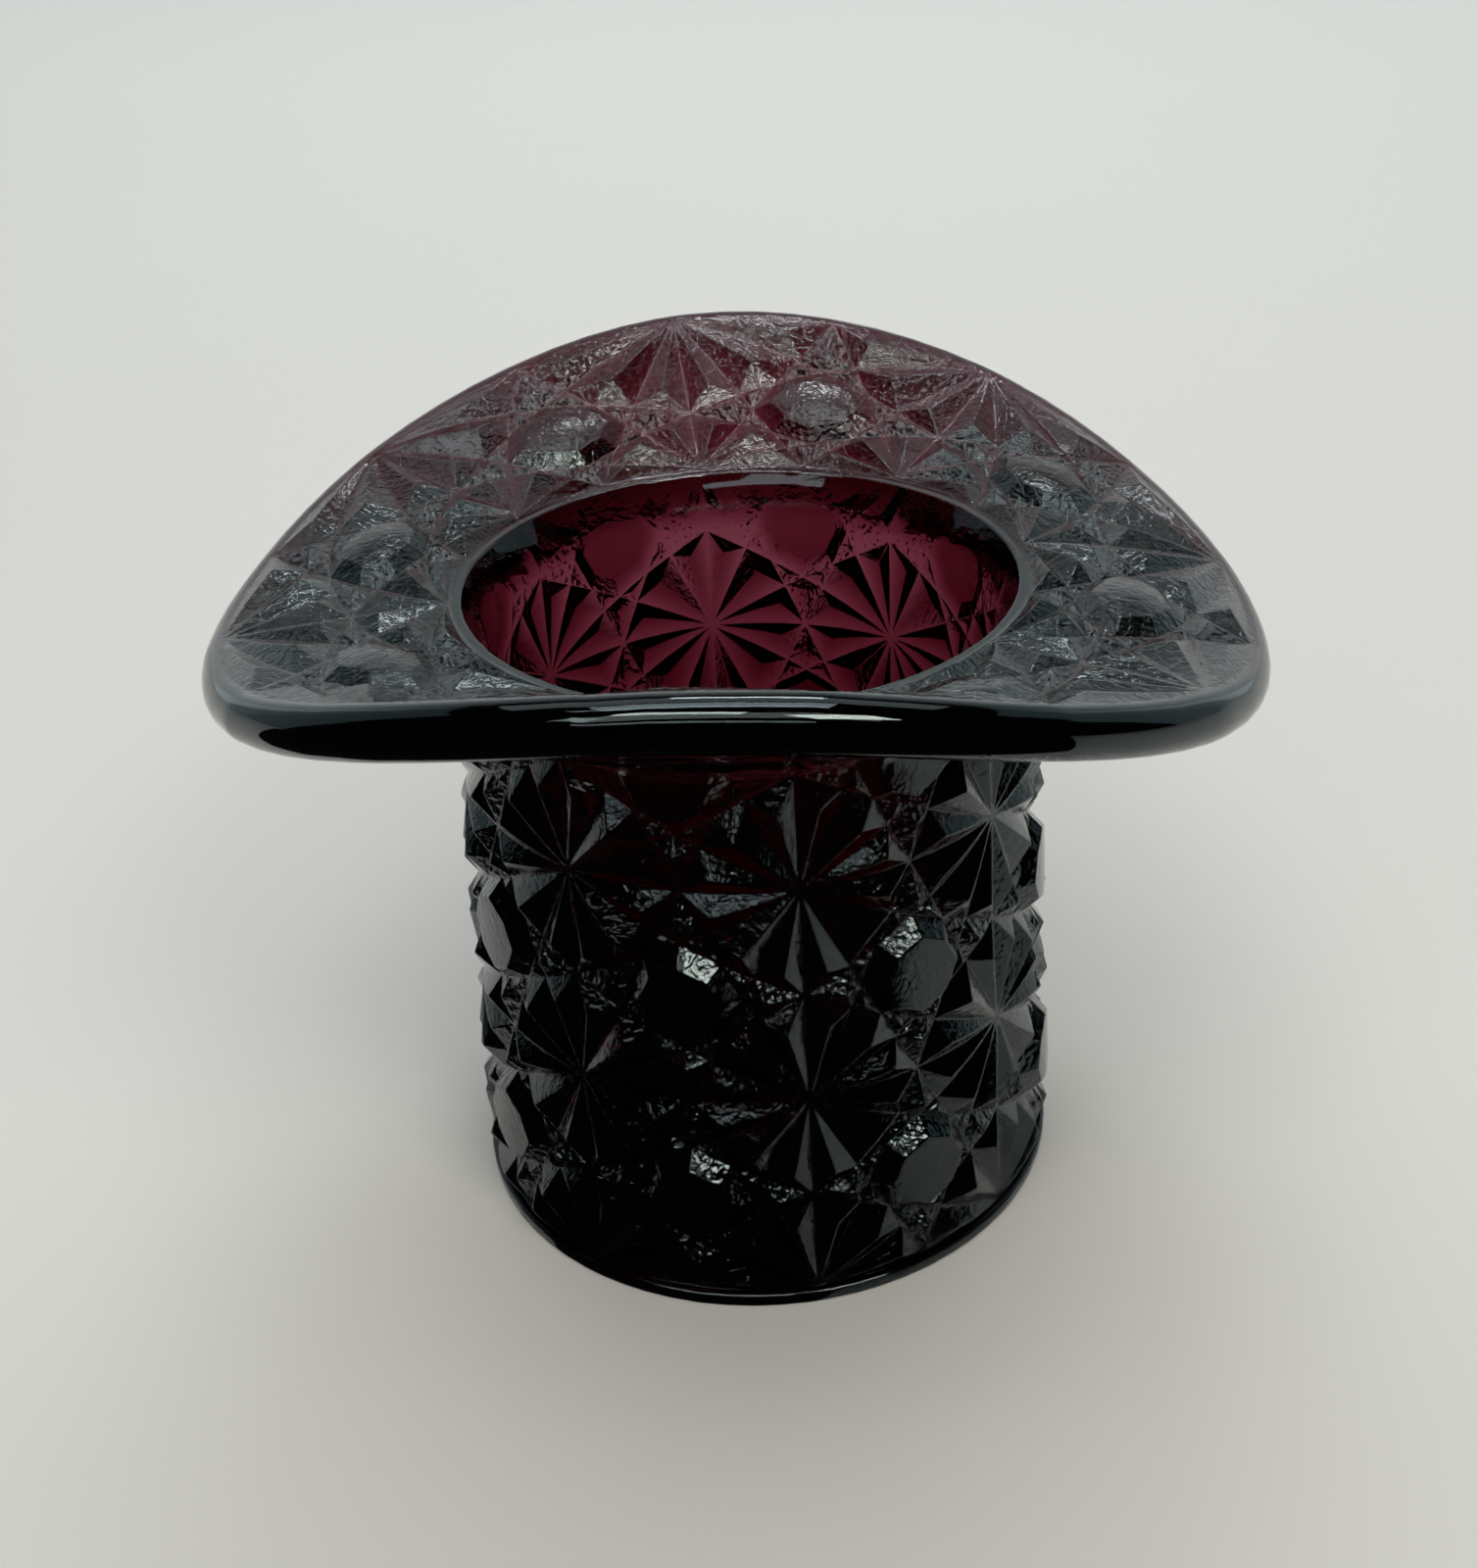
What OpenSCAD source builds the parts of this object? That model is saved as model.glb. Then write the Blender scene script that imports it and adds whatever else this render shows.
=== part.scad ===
// Pressed-glass hat, standing on its crown with the brim up.
// Millimetres. Z is up, the foot rests on z = 0, the front is -Y, the brim droops along X.
// The pattern lies on the outside of the crown and on the top of the brim.
// It is a square lattice: daisies on the whole steps, buttons on the half steps.
// Lattice places are counted in steps of one daisy, u round the hat and v up it.
// Rows 0 to 3 climb the crown and its bend, which is plain above the upper buttons.
// Row 4 to 5 runs from the brim's edge back to the mouth.

/* [Crown] */
// Radius of the groove floor just under the brim
neck_r = 29.6; // [24:0.2:36]
// Extra radius of the groove floor at the foot
foot_flare = 2.5; // [0:0.2:4]
// Glass between the inside and the groove floor at the neck
wall_t = 2.6; // [2:0.1:5]
// How much the inside narrows from the mouth to its floor
draft = 1.5; // [0.5:0.1:3]
// Height of the plain edge that the hat stands on
foot_h = 1.6; // [1:0.1:3]
// How far that edge stands out past the groove floor
foot_out = 1.1; // [0.4:0.1:2]
// Chamfer of that edge
foot_edge = 0.6; // [0.2:0.1:0.9]
// Height of the glass under the inside
floor_t = 8; // [5:0.5:14]
// How far the hollow under the foot stays inside the radius of the inside
recess_in = 3; // [1.5:0.5:10]
// Depth of the hollow under the foot
recess_d = 1.2; // [0.5:0.1:1.4]

/* [Brim] */
// Half of the brim's width, from side to side
rim_x = 55; // [50:0.2:64]
// Half of the brim's depth, from front to back
rim_y = 52.2; // [50:0.2:64]
// How much fuller than an oval the edge is between its sides and its ends
rim_full = 1; // [0:0.2:3]
// Rise of the front and back edges and fall of the side edges
saddle = 7.8; // [0:0.2:12]
// Rise of the whole edge over the mouth
brim_lift = 2.6; // [-4:0.2:6]
// Fall of the right edge and rise of the left one, as the brim was shaped by hand
brim_tip = 1.6; // [-4:0.2:4]
// How late the brim turns up or down, 1 is straight
brim_bow = 1.5; // [1.2:0.1:2.4]
// Radius of the outside corner between crown and brim
bend_r = 3.4; // [3:0.2:6]
// Radius of the curve in which the inside widens to the mouth
lip_r = 12.8; // [6:0.2:14]
// How far that curve turns before it meets the mouth's edge, in degrees
lip_turn = 30; // [20:1:45]
// Bevel of the mouth's edge
lip_bevel = 0.3; // [0.2:0.1:0.8]
// Plain band between the mouth's edge and the pattern on the brim
lip_w = 1.2; // [0.8:0.1:3]
// Thickness of the brim at the mouth
brim_t = 3.7; // [3:0.1:6]
// Thickness of the brim at its edge
rim_t = 5.2; // [3.4:0.1:7]
// How far the rounded edge stands out past the brim's plate
bead_w = 2.6; // [1.5:0.1:4]

/* [Pattern] */
// Daisies round the crown
columns = 8; // [6:1:10]
// Height of one row of daisies on the crown
row_h = 24.9; // [20:0.2:28]
// Turn of the pattern from the front
turn = 10.3; // [-22:0.5:22]
// Height of the narrow petals
petal_h = 1.5; // [0.8:0.1:2]
// Height of the broad petals
kite_h = 1.9; // [1:0.1:2.4]
// Height of the buttons
button_h = 1.7; // [1.2:0.1:2.6]
// Flat top of a button as a share of its foot
button_flat = 0.7; // [0.6:0.02:0.88]
// Height of the star points
star_h = 1.3; // [0.7:0.1:1.8]
// Height of the chips beside the star points
chip_h = 0.7; // [0.4:0.1:1]
// Height of the glass left in the grooves of a daisy
web_h = 0.25; // [0.15:0.05:0.4]
// Width of the groove floor round each motif
groove_w = 0.6; // [0.3:0.1:1]

/* [Hidden] */

// Steps of the smooth inside to one half step of the lattice.
cuts = 4;
sides = columns * 2 * cuts;
// Steps of the mouth's curve, of the brim's underside and of the rounded edge.
lip_steps = 6;
brim_steps = 6;
bead_steps = 8;
// Rows on the straight crown, the row that ends round the bend, and the rows of the brim's top.
wall_rows = 2.5;
neck_rows = 3;
rim_rows = 4;
lip_rows = 5;
wall_top = foot_h + wall_rows * row_h;
foot_r = neck_r + foot_flare;
edge_r = foot_r + foot_out;
mouth_r = neck_r - wall_t;
bore_r = mouth_r - draft;
recess_r = bore_r - recess_in;
// The inside is a polygon drawn round the floor's true cylinder.
seat_r = bore_r / cos(180 / sides);
brim_z = wall_top + bend_r;
brim_top = brim_z + brim_t;
bend_arc = bend_r * PI / 2;
// Radius of the mouth's edge, of the top of its bevel and of the start of the brim's pattern.
lip_in = mouth_r + lip_r * (1 - cos(lip_turn));
lip_out = lip_in + lip_bevel;
lip_rho = lip_out + lip_w;
// A motif is drawn in about its own middle by half of the groove.
step_w = 2 * PI * neck_r / columns;
trim = 1 - groove_w / step_w;

glass = "#4a2a63";
glass_rim = "#6b4a86";
glass_cut = "#5a3578";

// Places on the glass

// Places are rounded a little, so that cells that share a corner meet there exactly.
function snap(x) = round(6000 * x) / 6000;

function same(p, q) = norm(p - q) < 0.0001;

function ang(u) = turn + 360 * snap(u) / columns;

// Radius of the brim's plate where the rounded edge starts.
function oval_rho(a) = (rim_x + rim_y) / 2 - (rim_x - rim_y) / 2 * cos(2 * a);
function rim_rho(a) = oval_rho(a) + rim_full * pow(sin(2 * a), 2) - bead_w;

function share(a, rho) = max(0, (rho - neck_r) / (rim_rho(a) - neck_r));

function rise(a, rho) =
    (brim_lift + saddle * cos(2 * a) - brim_tip * sin(a)) * pow(share(a, rho), brim_bow);

function tilt(a, rho) = atan((rise(a, rho + 0.05) - rise(a, rho - 0.05)) / 0.1);

// Radius, height and direction of the outside, flat brim, v in rows.
function outside(a, v) =
    v <= wall_rows ? [foot_r - foot_flare * v / wall_rows, foot_h + row_h * v, 0]
    : let (t = (v - wall_rows) * row_h, b = t / bend_r * 180 / PI)
      t < bend_arc ? [neck_r + bend_r * (1 - cos(b)), wall_top + bend_r * sin(b), b]
      : [neck_r + bend_r + t - bend_arc, brim_z, 90];

// Radius on the brim's top, from its edge back to the plain band round the mouth.
// The pattern keeps its proportions there, so its steps shrink with the radius.
function top_rho(a, v) = rim_rho(a) * pow(lip_rho / rim_rho(a), v - rim_rows);

// Height of the groove floor on the brim's top.
function top_z(a, rho) = brim_top + rise(a, rho) + (rim_t - brim_t) * share(a, rho);

function spin(a, rho, z) = [rho * sin(a), -rho * cos(a), z];

// A point of the pattern, h above the groove floor.
function on_glass(p, h) =
    let (a = ang(p[0]), v = snap(p[1]))
    v < rim_rows ? on_crown(a, outside(a, v), v, h) : on_brim(a, top_rho(a, v), h);

function on_crown(a, o, v, h) =
    v <= wall_rows ? spin(a, o[0] + h, o[1])
    : let (d = tilt(a, o[0]) - o[2])
      spin(a, o[0] + h * cos(d), o[1] + rise(a, o[0]) + h * sin(d));

function on_brim(a, rho, h) =
    let (d = tilt(a, rho))
    spin(a, rho - h * sin(d), top_z(a, rho) + h * cos(d));

// A point of the inside, k counts the sides.
function in_side(k, q) = spin(ang(k / (2 * cuts)), q[0], q[1]);

function bore_at(z) = seat_r + (mouth_r - seat_r) * (z - floor_t) / (lip_at(0)[1] - floor_t);

// Points all round a line of the lattice, as fine as the inside.
function line(row) = [for (k = [0:sides]) on_glass([k / (2 * cuts), row], 0)];

// Points all round the brim's plain underside, from the end of the crown's pattern to the edge.
function under(s) = s == 0 ? line(neck_rows) : [for (k = [0:sides])
    let (a = ang(k / (2 * cuts)), r0 = outside(a, neck_rows)[0], rho = r0 + (rim_rho(a) - r0) * s / brim_steps)
    spin(a, rho, brim_z + rise(a, rho))];

// Shapes of the pattern about a unit's middle, turned by quarters

function quarter(p, n) = n == 0 ? p : quarter([-p[1], p[0]], n - 1);

// Each outline is a share of a step, followed by the middle of the circle that fits inside it.
function petal() = [[-1 / 2, -1 / 2], [0, -1 / 2], [-1 / 10, -3 / 10]];
function petal_mid() = [-0.1382, -0.4146];
function petal_b() = [[-1 / 2, -1 / 2], [-3 / 10, -1 / 10], [-1 / 2, 0]];
function petal_b_mid() = [-0.4146, -0.1382];
function kite() = [[-1 / 2, -1 / 2], [-1 / 10, -3 / 10], [-1 / 6, -1 / 6], [-3 / 10, -1 / 10]];
function kite_mid() = [-1 / 4, -1 / 4];
function point() = [[0, -1 / 2], [1 / 10, -3 / 10], [0, -1 / 4], [-1 / 10, -3 / 10]];
function point_mid() = [0, -1 / 3];
function chip() = [[-1 / 10, -3 / 10], [0, -1 / 4], [-1 / 6, -1 / 6]];
function chip_mid() = [-1 / 12, -1 / 4];
function chip_b() = [[1 / 10, -3 / 10], [1 / 6, -1 / 6], [0, -1 / 4]];
function chip_b_mid() = [1 / 12, -1 / 4];
function button() = [for (n = [0:3]) each [quarter([0, -1 / 4], n), quarter([1 / 6, -1 / 6], n)]];

function moved(poly, n, c) = [for (p = poly) quarter(p, n) + c];

// Every cell of one unit as [middle, outline], for the groove floor.
function unit_cells(c) = concat([[c, moved(button(), 0, c)]], [for (n = [0:3]) each [
    [quarter(petal_mid(), n) + c, moved(petal(), n, c)],
    [quarter(kite_mid(), n) + c, moved(kite(), n, c)],
    [quarter(petal_b_mid(), n) + c, moved(petal_b(), n, c)],
    [quarter(point_mid(), n) + c, moved(point(), n, c)],
    [quarter(chip_mid(), n) + c, moved(chip(), n, c)],
    [quarter(chip_b_mid(), n) + c, moved(chip_b(), n, c)]]]);

function next(list, k) = list[(k + 1) % len(list)];

// Cuts the sides of a cell that border plain glass as finely as the inside.
function fine(poly) = [for (k = [0:len(poly) - 1]) let (a = poly[k], b = next(poly, k))
    each (abs(a[1] - b[1]) < 0.0001 && plain_line(a[1])
        ? [for (t = [0:cuts - 1]) a + (b - a) * t / cuts] : [a])];

function plain_line(v) = min(abs(v - neck_rows), abs(v - rim_rows), abs(v - lip_rows)) < 0.0001;

// Faces of a cell on the groove floor, seen from outside or from inside.
function floor_out(cell) = let (c = on_glass(cell[0], 0), q = [for (p = fine(cell[1])) on_glass(p, 0)])
    [for (k = [0:len(q) - 1]) [c, next(q, k), q[k]]];

function turned(faces) = [for (f = faces) [f[0], f[2], f[1]]];

// A solid from loose triangles.
module solid(faces) {
    polyhedron(
        points = [for (f = faces) each f],
        faces = [for (k = [0:len(faces) - 1]) [3 * k, 3 * k + 1, 3 * k + 2]]);
}

// Glass shells

function outer_faces(row_a, row_b) = [for (i = [0:columns - 1], j = [row_a:row_b - 1])
    for (cell = unit_cells([i + 1 / 2, j + 1 / 2])) each floor_out(cell)];

// Bands of the inside between two profile points, or two points that turn with the brim.
function band(low, high) = [for (k = [0:sides - 1]) each [
    [in_side(k, low), in_side(k + 1, high), in_side(k, high)],
    [in_side(k, low), in_side(k + 1, low), in_side(k + 1, high)]]];

// Band between two lists of points all round, in the same sense.
function strip(low, high) = [for (k = [0:sides - 1]) each [
    [low[k], high[k + 1], high[k]],
    [low[k], low[k + 1], high[k + 1]]]];

// Ring between the lattice line of a row and a ring of the inside, seen from below.
function ring(row, inner) = [for (m = [0:2 * columns - 1])
    let (a = on_glass([m / 2, row], 0), b = on_glass([(m + 1) / 2, row], 0))
    each concat(
        [[a, b, inner[(m + 1) * cuts]]],
        [for (t = [0:cuts - 1]) [a, inner[m * cuts + t + 1], inner[m * cuts + t]]])];

function bore_ring(z, r) = [for (k = [0:sides]) in_side(k, [r, z])];

row_two_z = foot_h + 2 * row_h;

module crown_floor() {
    color(glass)
    rotate_extrude($fn = 128)
    polygon([[0, recess_d], [recess_r, recess_d], [recess_r + recess_d, 0], [edge_r - foot_edge, 0],
        [edge_r, foot_edge], [edge_r, foot_h], [bore_r, foot_h], [bore_r, floor_t], [0, floor_t]]);
}

module crown_wall() {
    color(glass)
    solid(concat(
        outer_faces(0, 2),
        ring(0, bore_ring(foot_h, seat_r)),
        band([seat_r, foot_h], [seat_r, floor_t]),
        band([seat_r, floor_t], [bore_at(row_two_z), row_two_z]),
        turned(ring(2, bore_ring(row_two_z, bore_at(row_two_z))))));
}

function lip_at(k) = let (b = lip_turn * k / lip_steps)
    [mouth_r + lip_r * (1 - cos(b)), brim_top - lip_bevel - lip_r * (sin(lip_turn) - sin(b))];

module mouth_flare() {
    color(glass)
    solid(concat(
        outer_faces(2, 3),
        ring(2, bore_ring(row_two_z, bore_at(row_two_z))),
        band([bore_at(row_two_z), row_two_z], lip_at(0)),
        [for (k = [0:lip_steps - 1]) each band(lip_at(k), lip_at(k + 1))],
        band(lip_at(lip_steps), [lip_out, brim_top]),
        strip(bore_ring(brim_top, lip_out), line(lip_rows)),
        strip(line(lip_rows), line(neck_rows))));
}

module brim_plate() {
    color(glass_rim)
    solid(concat(
        strip(line(neck_rows), line(lip_rows)),
        outer_faces(rim_rows, lip_rows),
        strip(line(rim_rows), under(brim_steps)),
        [for (s = [brim_steps:-1:1]) each strip(under(s), under(s - 1))]));
}

// Half round of the edge, from the lower corner of the brim's plate out to the upper one.
function edge_at(a, low, high, b) =
    let (d = tilt(a, rim_rho(a)))
    (low + high) / 2 - (high - low) / 2 * cos(b) + bead_w * sin(b) * [sin(a) * cos(d), -cos(a) * cos(d), sin(d)];

function edge_ring(s) =
    let (low = under(brim_steps), high = line(rim_rows))
    s == 0 ? low : s == bead_steps ? high
    : [for (k = [0:sides]) edge_at(ang(k / (2 * cuts)), low[k], high[k], 180 * s / bead_steps)];

module rim_bead() {
    color(glass_rim)
    solid(concat(
        [for (s = [bead_steps:-1:1]) each strip(edge_ring(s), edge_ring(s - 1))],
        strip(edge_ring(0), edge_ring(bead_steps))));
}

// Relief on the groove floor

// A motif drawn in about its own middle, so that the groove floor shows round it.
module motif(c, faces) {
    o = on_glass(c, 0);
    solid([for (f = faces) [for (p = f) o + trim * (p - o)]]);
}

// Faces of one petal: the roof falls to the daisy's web in the middle and to the floor elsewhere.
function petal_faces(c, mid, poly, h) =
    let (q = fine(poly), top = on_glass(mid, h))
    concat(
        [for (k = [0:len(q) - 1]) let (a = q[k], b = next(q, k))
            [top, on_glass(b, same(b, c) ? web_h : 0), on_glass(a, same(a, c) ? web_h : 0)]],
        turned([for (k = [0:len(q) - 1]) [on_glass(mid, 0), on_glass(next(q, k), 0), on_glass(q[k], 0)]]));

// Petals of a daisy in the quarters from n_a to n_b, counted from the first one.
function daisy_faces(c, n_a, n_b) = [for (n = [n_a:n_b]) let (o = c + quarter([1 / 2, 1 / 2], n)) each concat(
    petal_faces(c, quarter(petal_mid(), n) + o, moved(petal(), n, o), petal_h),
    petal_faces(c, quarter(kite_mid(), n) + o, moved(kite(), n, o), kite_h),
    petal_faces(c, quarter(petal_b_mid(), n) + o, moved(petal_b(), n, o), petal_h))];

module daisy_row(row) {
    color(glass_cut)
    for (i = [0:columns - 1])
        let (c = [i, row])
        motif(c, daisy_faces(c, 0, 3));
}

// A half daisy is closed by the web's two slim ends on the line that cuts it.
module half_daisy_row(row, n_a, reach) {
    color(glass_cut)
    for (i = [0:columns - 1])
        let (c = [i, row], w = on_glass(c, web_h), o = on_glass(c, 0),
            e = on_glass(c + [reach, 0], 0), f = on_glass(c - [reach, 0], 0))
        motif(c, concat(daisy_faces(c, n_a, n_a + 1), [[w, e, o], [w, o, f]]));
}

module button_row(row) {
    color(glass_rim)
    for (i = [0:columns - 1])
        let (c = [i + 1 / 2, row + 1 / 2], q = moved(button(), 0, c),
            low = [for (p = q) on_glass(p, 0)],
            high = [for (p = q) on_glass(c + button_flat * (p - c), button_h)],
            top = on_glass(c, button_h), foot = on_glass(c, 0))
        motif(c, [for (k = [0:7]) each [
            [top, next(high, k), high[k]],
            [high[k], next(high, k), low[k]],
            [next(high, k), next(low, k), low[k]],
            [foot, low[k], next(low, k)]]]);
}

// Star points with the two chips that flank each, on the listed sides of the buttons.
module star_row(row, quarters = [0:3]) {
    color(glass_cut)
    for (i = [0:columns - 1], n = quarters)
        let (c = [i + 1 / 2, row + 1 / 2],
            a = on_glass(c + quarter([0, -1 / 2], n), 0), b = on_glass(c + quarter([1 / 10, -3 / 10], n), 0),
            d = on_glass(c + quarter([1 / 6, -1 / 6], n), 0), e = on_glass(c + quarter([0, -1 / 4], n), 0),
            f = on_glass(c + quarter([-1 / 6, -1 / 6], n), 0), g = on_glass(c + quarter([-1 / 10, -3 / 10], n), 0),
            m = c + quarter(point_mid(), n), l = c + quarter(chip_mid(), n), r = c + quarter(chip_b_mid(), n),
            mt = on_glass(m, star_h), lt = on_glass(l, chip_h), rt = on_glass(r, chip_h),
            mo = on_glass(m, 0), lo = on_glass(l, 0), ro = on_glass(r, 0))
        motif(m, [
            [mt, b, a], [mt, rt, b], [mt, e, rt], [mt, lt, e], [mt, g, lt], [mt, a, g],
            [rt, d, b], [rt, e, d], [lt, f, e], [lt, g, f],
            [mo, a, b], [mo, b, e], [mo, e, g], [mo, g, a],
            [ro, b, d], [ro, d, e], [ro, e, b], [lo, e, f], [lo, f, g], [lo, g, e]]);
}

module daisies_foot() half_daisy_row(0, 0, 1 / 2);

module daisies_lower() daisy_row(1);

module daisies_upper() daisy_row(2);

module daisies_mouth() half_daisy_row(lip_rows, 2, -1 / (2 * cuts));

module daisies_rim() half_daisy_row(rim_rows, 0, 1 / (2 * cuts));

module buttons_lower() button_row(0);

module buttons_middle() button_row(1);

module buttons_upper() button_row(2);

module buttons_brim() button_row(rim_rows);

module stars_lower() star_row(0);

module stars_middle() star_row(1);

module stars_upper() star_row(2, [0]);

module stars_brim() star_row(rim_rows);

crown_floor();
crown_wall();
mouth_flare();
brim_plate();
rim_bead();
daisies_foot();
daisies_lower();
daisies_upper();
daisies_mouth();
daisies_rim();
buttons_lower();
buttons_middle();
buttons_upper();
buttons_brim();
stars_lower();
stars_middle();
stars_upper();
stars_brim();
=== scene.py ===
"""Looks of a pressed-glass top hat that stands on its crown.

The hat is one pressing, so one closed skin of glass stands for all of its solids: a lattice of
daisies and buttons on the crown and on top of the brim, a smooth inside and a plain rounded
edge. Metres, Z is up, the front is -Y and the brim droops along X, as in the part's source.
"""

from __future__ import annotations

import logging
import math
from dataclasses import dataclass, field
from enum import Enum
from types import SimpleNamespace

import bmesh
import bpy
import numpy as np
from mathutils import Matrix, Vector

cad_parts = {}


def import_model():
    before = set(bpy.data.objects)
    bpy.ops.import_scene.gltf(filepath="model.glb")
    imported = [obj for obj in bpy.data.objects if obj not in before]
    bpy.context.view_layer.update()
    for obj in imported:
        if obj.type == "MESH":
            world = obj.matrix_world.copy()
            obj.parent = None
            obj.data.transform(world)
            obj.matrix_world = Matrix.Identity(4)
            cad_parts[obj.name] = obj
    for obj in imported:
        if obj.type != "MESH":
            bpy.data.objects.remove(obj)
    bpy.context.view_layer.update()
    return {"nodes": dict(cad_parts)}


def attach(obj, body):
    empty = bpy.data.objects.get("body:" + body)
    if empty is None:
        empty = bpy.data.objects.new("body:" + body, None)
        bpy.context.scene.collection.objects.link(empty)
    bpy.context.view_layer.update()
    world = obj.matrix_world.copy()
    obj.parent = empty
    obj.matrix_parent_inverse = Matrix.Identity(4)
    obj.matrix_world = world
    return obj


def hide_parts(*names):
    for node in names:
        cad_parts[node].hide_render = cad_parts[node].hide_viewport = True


LOG = logging.getLogger("glass_hat")
MM = 0.001
RIGHT_ANGLE = math.pi / 2
BODY = "root"

Spot = tuple[float, float]
Point = tuple[float, float, float]
Color = tuple[float, float, float]
Ring = list[bmesh.types.BMVert]
Edge = tuple[int, int]
BMesh = bmesh.types.BMesh
Mesh, Object, Material = bpy.types.Mesh, bpy.types.Object, bpy.types.Material
Tree, Node, Socket = bpy.types.NodeTree, bpy.types.Node, bpy.types.NodeSocket


@dataclass(frozen=True)
class HatSizes:
    """Sizes of the hat in metres and radians, under the names that the part's source has."""

    neck_r: float = 29.6 * MM
    foot_flare: float = 2.5 * MM
    wall_t: float = 2.6 * MM
    draft: float = 1.5 * MM
    foot_h: float = 1.6 * MM
    foot_out: float = 1.1 * MM
    floor_t: float = 8.0 * MM
    recess_in: float = 3.0 * MM
    recess_d: float = 1.2 * MM
    rim_x: float = 55.0 * MM
    rim_y: float = 52.2 * MM
    rim_full: float = 1.0 * MM
    saddle: float = 7.8 * MM
    brim_lift: float = 2.6 * MM
    brim_tip: float = 1.6 * MM
    brim_nod: float = 0.7 * MM
    brim_bow: float = 1.5
    bend_r: float = 3.4 * MM
    lip_r: float = 12.8 * MM
    lip_turn: float = math.radians(30.0)
    lip_bevel: float = 0.3 * MM
    lip_w: float = 1.2 * MM
    brim_t: float = 3.7 * MM
    rim_t: float = 5.2 * MM
    bead_w: float = 2.6 * MM
    columns: float = 8
    crown_rows: float = 3
    wall_rows: float = 2.5
    row_h: float = 24.9 * MM
    turn: float = math.radians(10.3)
    fade_from: float = 2.68
    fade_to: float = 2.9
    brim_share: float = 0.75
    brim_dome: float = 0.8 * MM

    @property
    def foot_r(self) -> float:
        """Radius of the groove floor at the foot."""
        return self.neck_r + self.foot_flare

    @property
    def mouth_r(self) -> float:
        """Radius of the inside under the mouth's rounding."""
        return self.neck_r - self.wall_t

    @property
    def bore_r(self) -> float:
        """Radius of the inside at its floor."""
        return self.mouth_r - self.draft

    @property
    def brim_top(self) -> float:
        """Height of the brim's top at the mouth."""
        return self.foot_h + self.wall_rows * self.row_h + self.bend_r + self.brim_t

    @property
    def lip_in(self) -> float:
        """Radius of the mouth's edge."""
        return self.mouth_r + self.lip_r * (1 - math.cos(self.lip_turn))

    @property
    def lip_rho(self) -> float:
        """Radius at which the pattern on the brim ends before the mouth."""
        return self.lip_in + self.lip_bevel + self.lip_w

    @property
    def brim_z(self) -> float:
        """Height of the brim's underside at the crown."""
        return self.brim_top - self.brim_t

    def rim_rho(self, a: np.ndarray) -> np.ndarray:
        """Gives the radius at which the rounded edge starts.

        Args:
            a: Angles from the front towards +X.

        Returns:
            One radius for each angle.
        """
        oval = (self.rim_x + self.rim_y) / 2 - (self.rim_x - self.rim_y) / 2 * np.cos(2 * a)
        return oval + self.rim_full * np.sin(2 * a) ** 2 - self.bead_w

    def rise(self, a: np.ndarray, rho: np.ndarray) -> tuple[np.ndarray, np.ndarray, np.ndarray]:
        """Gives how the brim turns up at the front and back and down at the sides.

        Args:
            a: Angles from the front towards +X.
            rho: Radii.

        Returns:
            The rise, the angle of its slope, and the share of the way from neck to edge.
        """
        span = self.rim_rho(a) - self.neck_r
        share = np.maximum(0.0, (rho - self.neck_r) / span)
        most = self.brim_lift + self.saddle * np.cos(2 * a) - self.brim_tip * np.sin(a)
        most = most + self.brim_nod * (1 + np.cos(a)) / 2
        slope = most * self.brim_bow * share ** (self.brim_bow - 1) / span
        return most * share**self.brim_bow, np.arctan(slope), share


TREE_SIZES = tuple(
    "neck_r foot_flare foot_h rim_x rim_y rim_full saddle brim_lift brim_tip brim_nod brim_bow "
    "bend_r brim_t rim_t bead_w columns crown_rows wall_rows row_h turn fade_from fade_to "
    "brim_share brim_dome lip_rho".split()
)


class Motif(Enum):
    """Raised shapes of the lattice, with how far each stands out of its grooves."""

    PETAL = 1.5 * MM
    BROAD_PETAL = 1.9 * MM
    POINT = 1.3 * MM
    CHIP = 0.7 * MM
    BUTTON = 1.7 * MM


PITTED = (Motif.POINT, Motif.CHIP)


@dataclass(frozen=True)
class Cell:
    """One raised shape: its outline in steps about the unit's middle, and its peak."""

    motif: Motif
    outline: tuple[Spot, ...]
    peak: Spot


CELLS = (
    Cell(Motif.PETAL, ((-1 / 2, -1 / 2), (0, -1 / 2), (-1 / 10, -3 / 10)), (-0.1382, -0.4146)),
    Cell(Motif.PETAL, ((-1 / 2, -1 / 2), (-3 / 10, -1 / 10), (-1 / 2, 0)), (-0.4146, -0.1382)),
    Cell(
        Motif.BROAD_PETAL,
        ((-1 / 2, -1 / 2), (-1 / 10, -3 / 10), (-1 / 6, -1 / 6), (-3 / 10, -1 / 10)),
        (-1 / 4, -1 / 4),
    ),
    Cell(
        Motif.POINT,
        ((0, -1 / 2), (1 / 10, -3 / 10), (0, -1 / 4), (-1 / 10, -3 / 10)),
        (0, -1 / 3),
    ),
    Cell(Motif.CHIP, ((-1 / 10, -3 / 10), (0, -1 / 4), (-1 / 6, -1 / 6)), (-1 / 12, -1 / 4)),
    Cell(Motif.CHIP, ((1 / 10, -3 / 10), (1 / 6, -1 / 6), (0, -1 / 4)), (1 / 12, -1 / 4)),
)
BUTTON_CORNERS = ((0, -1 / 4), (1 / 6, -1 / 6))


def quarter(p: Spot, n: int) -> Spot:
    """Turns a point of the lattice by some quarter turns about the unit's middle."""
    for _ in range(n):
        p = (-p[1], p[0])
    return p


def edge_of(a: int, b: int) -> Edge:
    """Gives the name of the edge between two corners, whichever comes first."""
    return min(a, b), max(a, b)


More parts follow.
